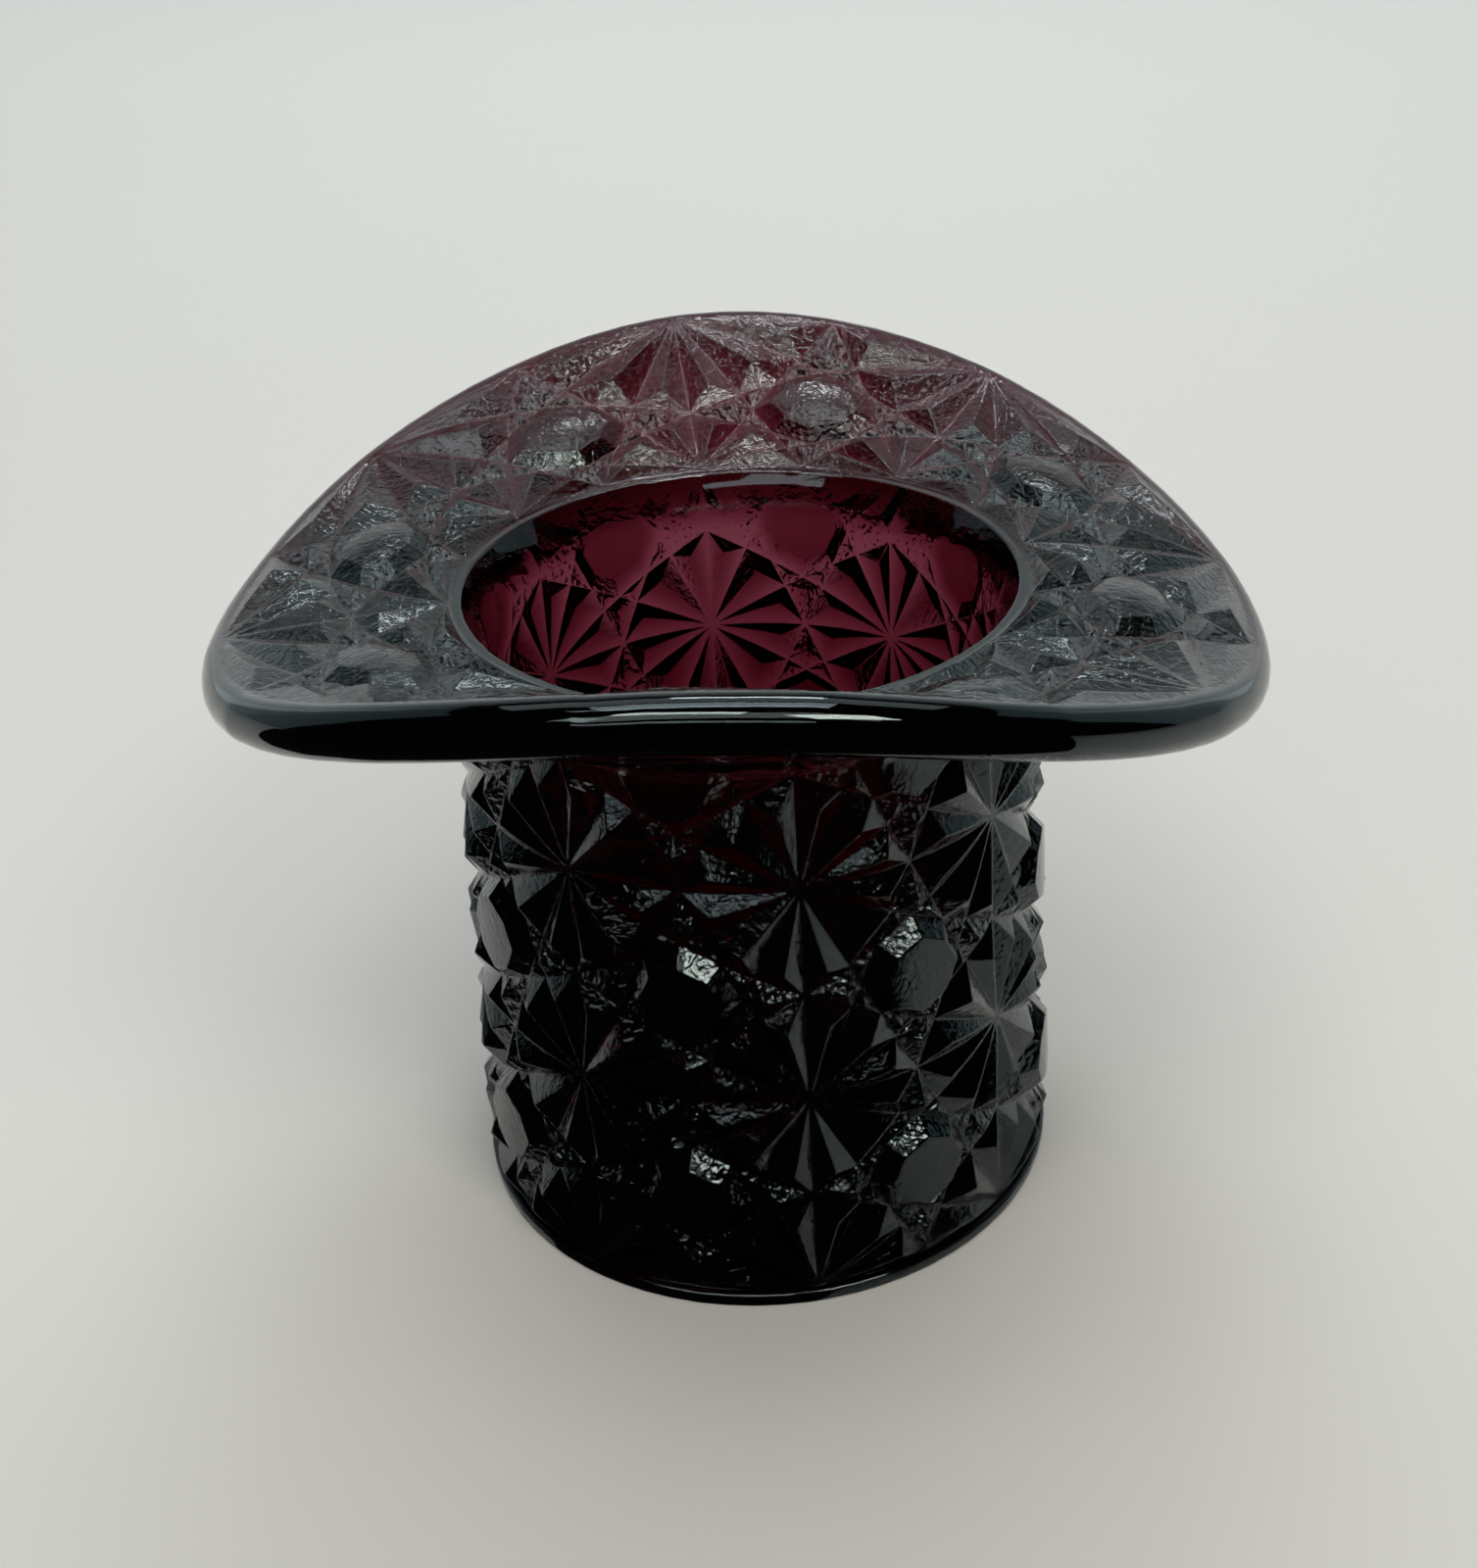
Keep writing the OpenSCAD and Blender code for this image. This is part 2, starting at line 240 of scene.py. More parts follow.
@dataclass
class ReliefTile:
    """One unit of the lattice, with a button in the middle and a quarter daisy at each corner.

    Its facets are drawn in from their edges, and the strips between them round the edges off,
    as the flame that polishes pressed glass does. Grooves stay sharper than ridges.
    """

    sizes: HatSizes
    plain_above: bool = False
    soft: float = 0.16 * MM
    groove: float = 0.06 * MM
    web: float = 0.3 * MM
    plain_h: float = 1.7 * MM
    plain_from: float = -0.05
    plain_climb: float = 0.2
    button_flat: float = 0.7
    bevel_grain: float = 0.25
    most_inset: float = 0.42
    least_sine: float = 0.05
    longest: float = 2.6 * MM
    keys_per_step: float = 6000
    keys_per_metre: float = 1e7
    near_corner: float = 1e-6
    near_border: float = 1e-8
    places: list[Vector] = field(default_factory=list)
    index: dict[tuple[int, int, int], int] = field(default_factory=dict)
    facets: list[list[int]] = field(default_factory=list)
    grains: list[float] = field(default_factory=list)

    @property
    def step(self) -> Spot:
        """Width and height of the tile on the crown."""
        s = self.sizes
        return 2 * math.pi * (s.neck_r + s.foot_flare / 2) / s.columns, s.row_h

    def spot(self, p: Spot, h: float) -> int:
        """Gives the number of a corner, which neighbours share.

        Args:
            p: Place in steps.
            h: Height over the groove floor.

        Returns:
            The corner's number.
        """
        key = (*(round(q * self.keys_per_step) for q in p), round(h * self.keys_per_metre))
        if key not in self.index:
            self.index[key] = len(self.places)
            self.places.append(Vector((p[0] * self.step[0], p[1] * self.step[1], h)))
        return self.index[key]

    def floor_spot(self, p: Spot) -> int:
        """Gives the number of a corner on the groove floor, a little higher in a daisy's middle."""
        middle = all(abs(abs(q) - 0.5) < self.near_corner for q in p)
        return self.spot(p, self.height(p, self.web if middle else 0.0))

    def height(self, p: Spot, patterned: float) -> float:
        """Gives the height of a place, which has no relief over the crown's uppermost daisies.

        Args:
            p: Place in steps.
            patterned: Height that the place has with relief.

        Returns:
            That height, or the plain glass's.
        """
        if not (self.plain_above and p[1] > self.plain_from):
            return patterned
        return self.plain_h * min(1.0, (p[1] - self.plain_from) / self.plain_climb)

    def cut(self) -> None:
        """Lists the flat facets of all cells, before their edges are rounded."""
        for cell in CELLS:
            for n in range(4):
                top = quarter(cell.peak, n)
                peak = self.spot(top, self.height(top, cell.motif.value))
                ring = [self.floor_spot(quarter(p, n)) for p in cell.outline]
                self.facets += [[peak, a, b] for a, b in zip(ring, ring[1:] + ring[:1])]
                self.grains += [1.0 if cell.motif in PITTED else 0.0] * len(ring)
        outline = [quarter(p, n) for n in range(4) for p in BUTTON_CORNERS]
        low = [self.floor_spot(p) for p in outline]
        flat = [(x * self.button_flat, y * self.button_flat) for x, y in outline]
        high = [self.spot(p, Motif.BUTTON.value) for p in flat]
        for k in range(len(outline)):
            j = (k + 1) % len(outline)
            self.facets.append([low[k], low[j], high[j], high[k]])
        self.facets.append(high)
        self.grains += [self.bevel_grain] * len(outline) + [0.0]

    def drawn_in(self, ring: list[int]) -> list[Vector]:
        """Draws a facet in from its edges.

        Args:
            ring: Numbers of the facet's corners.

        Returns:
            The drawn-in corners.
        """
        p = [self.places[k] for k in ring]
        count = len(p)
        middle = sum(p, Vector()) / count
        reach = min(
            (middle - a).cross((b - a).normalized()).length for a, b in zip(p, p[1:] + p[:1])
        )
        low = [q.z <= self.web for q in p]
        inset = [
            min(self.groove if one and two else self.soft, self.most_inset * reach)
            for one, two in zip(low, low[1:] + low[:1])
        ]
        inner = []
        for k in range(count):
            to_next = (p[(k + 1) % count] - p[k]).normalized()
            to_last = (p[k - 1] - p[k]).normalized()
            sine = max(self.least_sine, to_next.cross(to_last).length)
            inner.append(p[k] + (to_next * inset[k - 1] + to_last * inset[k]) / sine)
        return inner

    def on_border(self, p: Vector) -> set[int]:
        """Lists the axes along which a place lies on the tile's border."""
        return {k for k in (0, 1) if abs(abs(p[k]) - self.step[k] / 2) < self.near_border}

    def rounded(
        self, inner: list[list[Vector]]
    ) -> tuple[dict[tuple[Edge, int], Vector], dict[int, Vector]]:
        """Finds the middles of the strips and corners that round the facets' edges off.

        Args:
            inner: The drawn-in corners of each facet.

        Returns:
            The ends of each edge's middle line, and the rounded place of each corner.
        """
        beside: dict[Edge, list[int]] = {}
        for f, ring in enumerate(self.facets):
            for a, b in zip(ring, ring[1:] + ring[:1]):
                beside.setdefault(edge_of(a, b), []).append(f)
        ridge: dict[tuple[Edge, int], Vector] = {}
        round_of: dict[int, list[Vector]] = {}
        for pair, faces in beside.items():
            a, b = (self.places[k] for k in pair)
            along = (b - a).normalized()
            for end in pair:
                near = [inner[f][self.facets[f].index(end)] for f in faces]
                middle = sum(near, Vector()) / len(near)
                foot = a + along * (middle - a).dot(along)
                place = foot.lerp(middle, 0.5)
                if len(faces) == 1:
                    for axis in self.on_border(a) & self.on_border(b):
                        place[axis] = a[axis]
                ridge[pair, end] = place
                round_of.setdefault(end, []).extend(near + [place])
        corners = {}
        for end, near in round_of.items():
            corner = self.places[end]
            corners[end] = corner.lerp(sum(near, Vector()) / len(near), 0.5)
            for axis in self.on_border(corner):
                corners[end][axis] = corner[axis]
        return ridge, corners

    def build(self) -> Mesh:
        """Makes the tile, with steps as its X and Y and the height as its Z.

        Returns:
            The tile's mesh.
        """
        self.cut()
        inner = [self.drawn_in(ring) for ring in self.facets]
        ridge, corners = self.rounded(inner)
        bm = bmesh.new()
        grain = bm.verts.layers.float.new("grain")
        inner_verts = [[bm.verts.new(p) for p in ring] for ring in inner]
        for ring, share in zip(inner_verts, self.grains):
            for vert in ring:
                vert[grain] = share
        ridge_verts = {key: bm.verts.new(p) for key, p in ridge.items()}
        corner_verts = {end: bm.verts.new(p) for end, p in corners.items()}
        for ring, facet in zip(self.facets, inner_verts):
            bm.faces.new(facet)
            for k, a in enumerate(ring):
                j = (k + 1) % len(ring)
                b, last = ring[j], ring[k - 1]
                start, end = ridge_verts[edge_of(a, b), a], ridge_verts[edge_of(a, b), b]
                bm.faces.new((facet[k], start, end, facet[j]))
                bm.faces.new((corner_verts[a], start, facet[k], ridge_verts[edge_of(a, last), a]))
        bmesh.ops.poke(bm, faces=[face for face in bm.faces if len(face.verts) > 4])
        for _ in range(2):
            long_edges = [e for e in bm.edges if e.calc_length() > self.longest]
            bmesh.ops.subdivide_edges(bm, edges=long_edges, cuts=1, use_grid_fill=True)
        bmesh.ops.triangulate(bm, faces=bm.faces[:])
        bmesh.ops.scale(bm, vec=(1 / self.step[0], 1 / self.step[1], 1), verts=bm.verts[:])
        mesh = bpy.data.meshes.new("relief_tile")
        bm.to_mesh(mesh)
        bm.free()
        return mesh


class Number:
    """A field of numbers in a node tree, with plain arithmetic on it."""

    def __init__(self, tree: Tree, socket: Socket) -> None:
        """Keeps the tree and the socket that gives the numbers."""
        self.tree = tree
        self.socket = socket

    def op(self, kind: str, other: Number | float | None = None, swap: bool = False) -> Number:
        """Adds one Math node.

        Args:
            kind: The node's operation.
            other: The second number.
            swap: Puts the second number first.

        Returns:
            The node's result.
        """
        node = self.tree.nodes.new("ShaderNodeMath")
        node.operation = kind
        pair = [self] if other is None else [other, self] if swap else [self, other]
        for k, value in enumerate(pair):
            if isinstance(value, Number):
                self.tree.links.new(value.socket, node.inputs[k])
            else:
                node.inputs[k].default_value = value
        return Number(self.tree, node.outputs[0])

    def __add__(self, other: Number | float) -> Number:
        """Sum."""
        return self.op("ADD", other)

    def __sub__(self, other: Number | float) -> Number:
        """Difference."""
        return self.op("SUBTRACT", other)

    def __rsub__(self, other: float) -> Number:
        """Difference from a plain number."""
        return self.op("SUBTRACT", other, swap=True)

    def __mul__(self, other: Number | float) -> Number:
        """Product."""
        return self.op("MULTIPLY", other)

    def __truediv__(self, other: Number | float) -> Number:
        """Ratio."""
        return self.op("DIVIDE", other)

    def __pow__(self, other: Number | float) -> Number:
        """Power."""
        return self.op("POWER", other)

    def sin(self) -> Number:
        """Sine."""
        return self.op("SINE")

    def cos(self) -> Number:
        """Cosine."""
        return self.op("COSINE")


@dataclass
class ReliefTree:
    """Geometry nodes that repeat the tile round and up the hat and bend it on crown and brim."""

    sizes: HatSizes
    material: Material
    dome_r: float = 0.17
    weld: float = 0.004 * MM

    def __post_init__(self) -> None:
        """Starts the empty tree."""
        self.tree = bpy.data.node_groups.new("relief_lattice", "GeometryNodeTree")
        self.node, self.link = self.tree.nodes.new, self.tree.links.new

    def place(self) -> tuple[Number, ...]:
        """Adds the nodes that give the parts of each point's place."""
        split = self.node("ShaderNodeSeparateXYZ")
        self.link(self.node("GeometryNodeInputPosition").outputs[0], split.inputs[0])
        return tuple(Number(self.tree, socket) for socket in split.outputs)

    def bend(self, s: SimpleNamespace) -> Socket:
        """Adds the nodes that lay the flat lattice on the hat.

        Args:
            s: The tree's inputs by name.

        Returns:
            The new place of each point.
        """
        u, v, height = self.place()
        a = s.turn + u / s.columns * (2 * math.pi)
        twice = (a * 2.0).cos()
        oval = (s.rim_x + s.rim_y) * 0.5 - (s.rim_x - s.rim_y) * 0.5 * twice
        rim = oval + s.rim_full * (1.0 - twice * twice) - s.bead_w
        arc = s.bend_r * RIGHT_ANGLE
        on_top = v.op("GREATER_THAN", s.crown_rows + 0.5)
        on_crown = 1.0 - on_top
        t = ((v - s.wall_rows) * s.row_h * on_crown).op("MAXIMUM", 0.0)
        b = (t / s.bend_r).op("MINIMUM", RIGHT_ANGLE)
        low = v.op("MINIMUM", s.wall_rows)
        bend = s.bend_r * (1.0 - b.cos()) + (t - arc).op("MAXIMUM", 0.0)
        back = v - s.crown_rows - 1.0
        top = rim * (s.lip_rho / rim) ** back - s.neck_r
        out = bend * on_crown + top * on_top
        gone = (v - s.fade_from) / (s.fade_to - s.fade_from)
        gone = gone.op("MAXIMUM", 0.0).op("MINIMUM", 1.0)
        fade = gone * gone * (3.0 - gone * 2.0) * on_crown
        h = height * (1.0 - fade - (1.0 - s.brim_share) * on_top)
        across, along = (q.op("FRACT") - 0.5 for q in (u, v))
        dome = 1.0 - (across * across + along * along) * (1 / self.dome_r**2)
        h = h + s.brim_dome * dome.op("MAXIMUM", 0.0) * on_top
        rho = s.neck_r + s.foot_flare * (1.0 - low / s.wall_rows) * on_crown + out
        z = s.foot_h + s.row_h * low + s.bend_r * (b.sin() * on_crown + on_top)
        span = rim - s.neck_r
        share = (out / span).op("MAXIMUM", 0.0)
        most = s.brim_lift + s.saddle * twice - s.brim_tip * a.sin()
        most = most + s.brim_nod * (a.cos() + 1.0) * 0.5
        rise = most * share**s.brim_bow
        thick = s.brim_t + (s.rim_t - s.brim_t) * share
        slope = most * s.brim_bow * share ** (s.brim_bow - 1.0) / span
        lean = slope.op("ARCTANGENT") - b + on_top * RIGHT_ANGLE
        rho = rho + h * lean.cos()
        z = z + rise + thick * on_top + h * lean.sin()
        joined = self.node("ShaderNodeCombineXYZ")
        for k, value in enumerate((rho * a.sin(), rho * a.cos() * -1.0, z)):
            self.link(value.socket, joined.inputs[k])
        return joined.outputs[0]

    def copies(self, s: SimpleNamespace, source: Node) -> Socket:
        """Adds the nodes that repeat the two tiles as a flat lattice.

        The crown's last row takes the upper tile, and the brim's row follows after a free row.

        Args:
            s: The tree's inputs by name.
            source: The node that holds the tree's inputs.

        Returns:
            The copies.
        """
        index = Number(self.tree, self.node("GeometryNodeInputIndex").outputs[0])
        column = index.op("MODULO", s.columns) + 0.5
        row = (index / s.columns).op("FLOOR")
        over = row.op("GREATER_THAN", s.crown_rows - 0.5)
        last_row = row.op("GREATER_THAN", s.crown_rows - 1.5) - over
        grid = self.node("ShaderNodeCombineXYZ")
        self.link(column.socket, grid.inputs[0])
        self.link((row + over + 0.5).socket, grid.inputs[1])
        points = self.node("GeometryNodePoints")
        self.link((s.columns * (s.crown_rows + 1.0)).socket, points.inputs["Count"])
        self.link(grid.outputs[0], points.inputs["Position"])
        upper = self.node("GeometryNodeObjectInfo")
        self.link(source.outputs["upper_tile"], upper.inputs["Object"])
        joined = self.node("GeometryNodeJoinGeometry")
        for tile, chosen in (
            (source.outputs["Tile"], 1.0 - last_row),
            (upper.outputs["Geometry"], last_row),
        ):
            each = self.node("GeometryNodeInstanceOnPoints")
            self.link(points.outputs[0], each.inputs["Points"])
            self.link(chosen.socket, each.inputs["Selection"])
            self.link(tile, each.inputs["Instance"])
            self.link(each.outputs[0], joined.inputs[0])
        return joined.outputs[0]

    def mark(self, name: str, value: Number | float) -> Node:
        """Adds a node that notes a number at each point under a name, for the material."""
        node = self.node("GeometryNodeStoreNamedAttribute")
        node.data_type = "FLOAT"
        node.domain = "POINT"
        node.inputs["Name"].default_value = name
        if isinstance(value, Number):
            self.link(value.socket, node.inputs["Value"])
        else:
            node.inputs["Value"].default_value = value
        return node

    def build(self) -> dict[str, str]:
        """Fills the tree.

        Returns:
            The identifier of each named input.
        """

        def named(name: str, kind: str, way: str = "INPUT") -> str:
            """Adds an input or output of the tree and gives its identifier."""
            kind = f"NodeSocket{kind}"
            return self.tree.interface.new_socket(name, in_out=way, socket_type=kind).identifier

        named("Tile", "Geometry")
        named("Relief", "Geometry", "OUTPUT")
        names = {"upper_tile": named("upper_tile", "Object")}
        names |= {name: named(name, "Float") for name in TREE_SIZES}
        source = self.node("NodeGroupInput")
        numbers = {name: Number(self.tree, source.outputs[name]) for name in TREE_SIZES}
        s = SimpleNamespace(**numbers)
        on_brim = self.place()[1].op("GREATER_THAN", s.crown_rows + 0.5)
        bent = self.node("GeometryNodeSetPosition")
        self.link(self.bend(s), bent.inputs["Position"])
        weld = self.node("GeometryNodeMergeByDistance")
        weld.inputs["Distance"].default_value = self.weld
        finish = self.node("GeometryNodeSetMaterial")
        finish.inputs["Material"].default_value = self.material
        last = self.copies(s, source)
        for node in (
            self.node("GeometryNodeRealizeInstances"),
            self.mark("brim", on_brim),
            bent,
            weld,
            self.mark("relief", 1.0),
            finish,
        ):
            self.link(last, node.inputs["Geometry"])
            last = node.outputs["Geometry"]
        self.link(last, self.node("NodeGroupOutput").inputs[0])
        return names

    def lay(self, tile: Mesh, upper: Mesh) -> Mesh:
        """Repeats and bends two tiles.

        Args:
            tile: The tile's mesh.
            upper: The mesh of the crown's uppermost tiles.

        Returns:
            The relief as a plain mesh: a sleeve round the crown and a ring on top of the brim.
        """
        carrier = bpy.data.objects.new("relief_carrier", tile)
        bpy.context.scene.collection.objects.link(carrier)
        second = bpy.data.objects.new("upper_carrier", upper)
        names = self.build()
        modifier = carrier.modifiers.new("lattice", "NODES")
        modifier.node_group = self.tree
        modifier[names.pop("upper_tile")] = second
        for name, identifier in names.items():
            modifier[identifier] = float(getattr(self.sizes, name))
        graph = bpy.context.evaluated_depsgraph_get()
        mesh = bpy.data.meshes.new_from_object(carrier.evaluated_get(graph))
        carrier.modifiers.remove(modifier)
        bpy.data.objects.remove(carrier)
        bpy.data.objects.remove(second)
        bpy.data.node_groups.remove(self.tree)
        return mesh


class ShaderGraph:
    """A material's nodes, with short ways to add the kinds that the finishes need."""

    def __init__(self, material: Material) -> None:
        """Turns the material's nodes on and keeps them."""
        material.use_nodes = True
        self.nodes, self.links = material.node_tree.nodes, material.node_tree.links

    def put(self, node: Node, **inputs: Socket | Color | float) -> None:
        """Sets inputs of a node or links them.

        Args:
            node: The node.
            inputs: Values or sockets by the inputs' names, with _ for each space.
        """
        for name, value in inputs.items():
            socket = node.inputs[name.replace("_", " ")]
            if isinstance(value, Socket):
                self.links.new(value, socket)
            else:
                socket.default_value = (*value, 1.0) if isinstance(value, tuple) else value

    def noise(self, scale: float, detail: float = 2.0, bent: float = 0.0) -> Socket:
        """Adds noise in the object's own coordinates, with its scale, detail and distortion."""
        node = self.nodes.new("ShaderNodeTexNoise")
        place = self.nodes.new("ShaderNodeTexCoord").outputs["Object"]
        self.put(node, Vector=place, Scale=scale, Detail=detail, Distortion=bent)
        return node.outputs["Fac"]

    def noted(self, name: str) -> Socket:
        """Adds the numbers that the mesh notes under a name."""
        node = self.nodes.new("ShaderNodeAttribute")
        node.attribute_name = name
        return node.outputs["Fac"]

    def weighed(self, *terms: tuple[Socket, float], start: Socket | None = None) -> Socket:
        """Adds up numbers times their factors.

        Args:
            terms: Pairs of a number's socket and its factor.
            start: What they are added to.

        Returns:
            The sum.
        """
        total = start
        for source, factor in terms:
            node = self.nodes.new("ShaderNodeMath")
            node.operation = "MULTIPLY_ADD"
            self.links.new(source, node.inputs[0])
            node.inputs[1].default_value = factor
            node.inputs[2].default_value = 0.0
            if total is not None:
                self.links.new(total, node.inputs[2])
            total = node.outputs[0]
        return total

    def bump(
        self, distance: float, strength: Socket | float, height: Socket, under: Socket | None = None
    ) -> Socket:
        """Adds a bump that follows heights, on top of another one where given."""
        node = self.nodes.new("ShaderNodeBump")
        self.put(node, Distance=distance, Strength=strength, Height=height)
        if under is not None:
            self.put(node, Normal=under)
        return node.outputs[0]

    def tint(self, low: Color, high: Color, share: Socket) -> Socket:
        """Adds a blend from one colour to another that follows a socket's numbers."""
        node = self.nodes.new("ShaderNodeMix")
        node.data_type = "RGBA"
        self.put(node, A=low, B=high, Factor=share)
        return node.outputs["Result"]


@dataclass(frozen=True)
class AmethystGlass:
    """Deep amethyst soda glass: fire-polished where it is smooth, chill-wrinkled on the relief."""

    ior: float = 1.52
    mirror_tint: Color = (0.77, 0.95, 1.0)
    pale_tint: Color = (0.98, 0.95, 0.99)
    clear_tint: Color = (1.0, 0.99, 1.0)
    absorb_color: Color = (0.56, 0.14, 0.27)
    absorb_density: float = 1170.0
    roughness: float = 0.02
    haze: float = 0.1
    dull: float = 0.15
    wrinkle: float = 0.4
    brim_wrinkle: float = 0.4
    grain_wrinkle: float = 0.1
    wrinkle_d: float = 0.2 * MM
    wrinkle_scale: float = 1000.0
    pit: float = 1.0
    pit_d: float = 0.6 * MM
    pit_scale: float = 1100.0
    wave: float = 0.12
    wave_d: float = 0.4 * MM
    wave_scale: float = 90.0

    def material(self) -> Material:
        """Makes the glass.

        Returns:
            The material, with a plain absorbing volume.
        """
        material = bpy.data.materials.new("amethyst_glass")
        graph = ShaderGraph(material)
        graph.nodes.clear()
        glass = graph.nodes.new("ShaderNodeBsdfPrincipled")
        glass.inputs["Transmission Weight"].default_value = 1.0
        glass.inputs["IOR"].default_value = self.ior
        glass.inputs["Specular Tint"].default_value = (*self.mirror_tint, 1.0)
        volume = graph.nodes.new("ShaderNodeVolumeAbsorption")
        volume.inputs["Color"].default_value = (*self.absorb_color, 1.0)
        volume.inputs["Density"].default_value = self.absorb_density
        output = graph.nodes.new("ShaderNodeOutputMaterial")
        graph.put(output, Surface=glass.outputs[0], Volume=volume.outputs[0])
        relief, brim, grain = (graph.noted(name) for name in ("relief", "brim", "grain"))
        fine = graph.noise(self.wrinkle_scale, bent=1.0)
        dents = graph.noise(self.pit_scale, detail=1.0)
        broad = graph.noise(self.wave_scale, detail=1.0)
        wrinkled = graph.weighed(
            (relief, self.wrinkle), (brim, self.brim_wrinkle), (grain, self.grain_wrinkle)
        )
        normal = graph.bump(self.wrinkle_d, wrinkled, fine)
        normal = graph.bump(self.pit_d, graph.weighed((grain, self.pit)), dents, normal)
        normal = graph.bump(self.wave_d, self.wave, broad, normal)
        rough = graph.nodes.new("ShaderNodeMapRange")
        graph.put(rough, Value=broad, To_Min=self.roughness * 0.5, To_Max=self.roughness * 2.0)
        graph.put(
            glass,
            Normal=normal,
            Roughness=graph.weighed((brim, self.haze), (grain, self.dull), start=rough.outputs[0]),
            Base_Color=graph.tint(self.pale_tint, self.clear_tint, broad),
        )
        return material


@dataclass
class GlassHat:
    """The whole pressing: relief outside, smooth inside and top, rounded edge and foot."""

    sizes: HatSizes = field(default_factory=HatSizes)
    finish: AmethystGlass = field(default_factory=AmethystGlass)
    bead_steps: int = 16
    brim_steps: int = 16
    lip_steps: int = 10
    wall_steps: int = 10
    floor_steps: int = 6
    foot_steps: int = 4
    bead_lean: float = 0.5
    floor_round: float = 4.0 * MM
    foot_round: float = 0.45 * MM
    lip_zone: float = 3.0 * MM
    rim_from: float = 45.0 * MM
    lip_round: tuple[Spot, ...] = ((0.05, 0.0), (-0.13, 0.03), (-0.22, 0.11))
    floor_shares: tuple[float, ...] = (0.75, 0.5, 0.25, 0.08)
    hollow_shares: tuple[float, ...] = (0.66, 0.33, 0.08)

    def ring(
        self, bm: BMesh, a: np.ndarray, rho: np.ndarray | float, z: np.ndarray | float
    ) -> Ring:
        """Adds one ring of points.

        Args:
            bm: The mesh under work.
            a: Angles of the points.
            rho: Radii of the points, or one radius.
            z: Heights of the points, or one height.

        Returns:
            The ring's points in the order of the angles.
        """
        rho, z = np.broadcast_to(rho, a.shape), np.broadcast_to(z, a.shape)
        places = zip(a.tolist(), rho.tolist(), z.tolist())
        return [bm.verts.new((r * math.sin(t), -r * math.cos(t), h)) for t, r, h in places]

    def bridge(self, bm: BMesh, rings: list[Ring], down: bool = False) -> None:
        """Joins rings by bands of faces.

        Args:
            bm: The mesh under work.
            rings: Rings with equal numbers of points.
            down: Turns the faces over, for a skin that runs downwards outside.
        """
        count = len(rings[0])
        for one, two in zip(rings, rings[1:]):
            for k in range(count):
                j = (k + 1) % count
                face = (one[k], one[j], two[j], two[k])
                bm.faces.new(face[::-1] if down else face)

    def close(self, bm: BMesh, ring: Ring, down: bool = False) -> None:
        """Closes a small ring at the axis.

        Args:
            bm: The mesh under work.
            ring: The ring's points.
            down: Turns the faces over, for a ring that is seen from below.
        """
        tip = bm.verts.new((0.0, 0.0, ring[0].co.z))
        for k, vert in enumerate(ring):
            face = (vert, ring[(k + 1) % len(ring)], tip)
            bm.faces.new(face[::-1] if down else face)

    def edge_rings(self, bm: BMesh, rim: Ring, neck: Ring, a: np.ndarray) -> list[Ring]:
        """Adds the rounded edge of the brim and its plain underside.

        Args:
            bm: The mesh under work.
            rim: Points at which the brim's pattern ends.
            neck: Points at which the crown's pattern ends.
            a: Their angles.

        Returns:
            The rings from the brim's pattern round the edge to the crown's pattern.
        """
        s = self.sizes
        rise, lean, _ = s.rise(a, s.rim_rho(a))
        lean = lean * self.bead_lean
        high = np.array([v.co for v in rim])
        high_rho, high_z = np.hypot(high[:, 0], high[:, 1]), high[:, 2]
        thick = high_z - s.brim_z - rise
        low_rho, low_z = high_rho + thick * np.sin(lean), high_z - thick * np.cos(lean)
        rings = [rim]
        for k in range(1, self.bead_steps + 1):
            b = math.pi * k / self.bead_steps
            mix = (1 - math.cos(b)) / 2
            out = s.bead_w * math.sin(b)
            r = high_rho + (low_rho - high_rho) * mix + out * np.cos(lean)
            z = high_z + (low_z - high_z) * mix + out * np.sin(lean)
            rings.append(self.ring(bm, a, r, z))
        end = np.array([math.hypot(v.co.x, v.co.y) for v in neck])
        drop = low_z - s.brim_z - s.rise(a, low_rho)[0]
        for k in range(1, self.brim_steps):
            share = k / self.brim_steps
            r = low_rho + (end - low_rho) * share
            z = s.brim_z + s.rise(a, r)[0] + drop * (1 - share) ** 3
            rings.append(self.ring(bm, a, r, z))
        return rings + [neck]

    def inside_profile(self) -> list[Spot]:
        """Lists the radii and heights from the mouth's plain band to the floor's middle."""
        s, r = self.sizes, self.floor_round
        top = s.brim_top
        edge = s.lip_in + s.lip_bevel
        profile = [(edge + s.lip_w * share, top) for share in (0.8, 0.4)]
        for out, drop in self.lip_round:
            profile.append((edge + out * MM, top - drop * MM))
        for k in range(self.lip_steps + 1):
            b = s.lip_turn * (1 - k / self.lip_steps)
            drop = s.lip_bevel + s.lip_r * (math.sin(s.lip_turn) - math.sin(b))
            profile.append((s.mouth_r + s.lip_r * (1 - math.cos(b)), top - drop))
        high, low = profile[-1][1], s.floor_t + r
        for k in range(1, self.wall_steps + 1):
            z = high + (low - high) * k / self.wall_steps
            profile.append((s.bore_r + s.draft * (z - s.floor_t) / (high - s.floor_t), z))
        for k in range(1, self.floor_steps + 1):
            b = RIGHT_ANGLE * k / self.floor_steps
            profile.append((s.bore_r - r * (1 - math.cos(b)), s.floor_t + r * (1 - math.sin(b))))
        return profile + [((s.bore_r - r) * share, s.floor_t) for share in self.floor_shares]

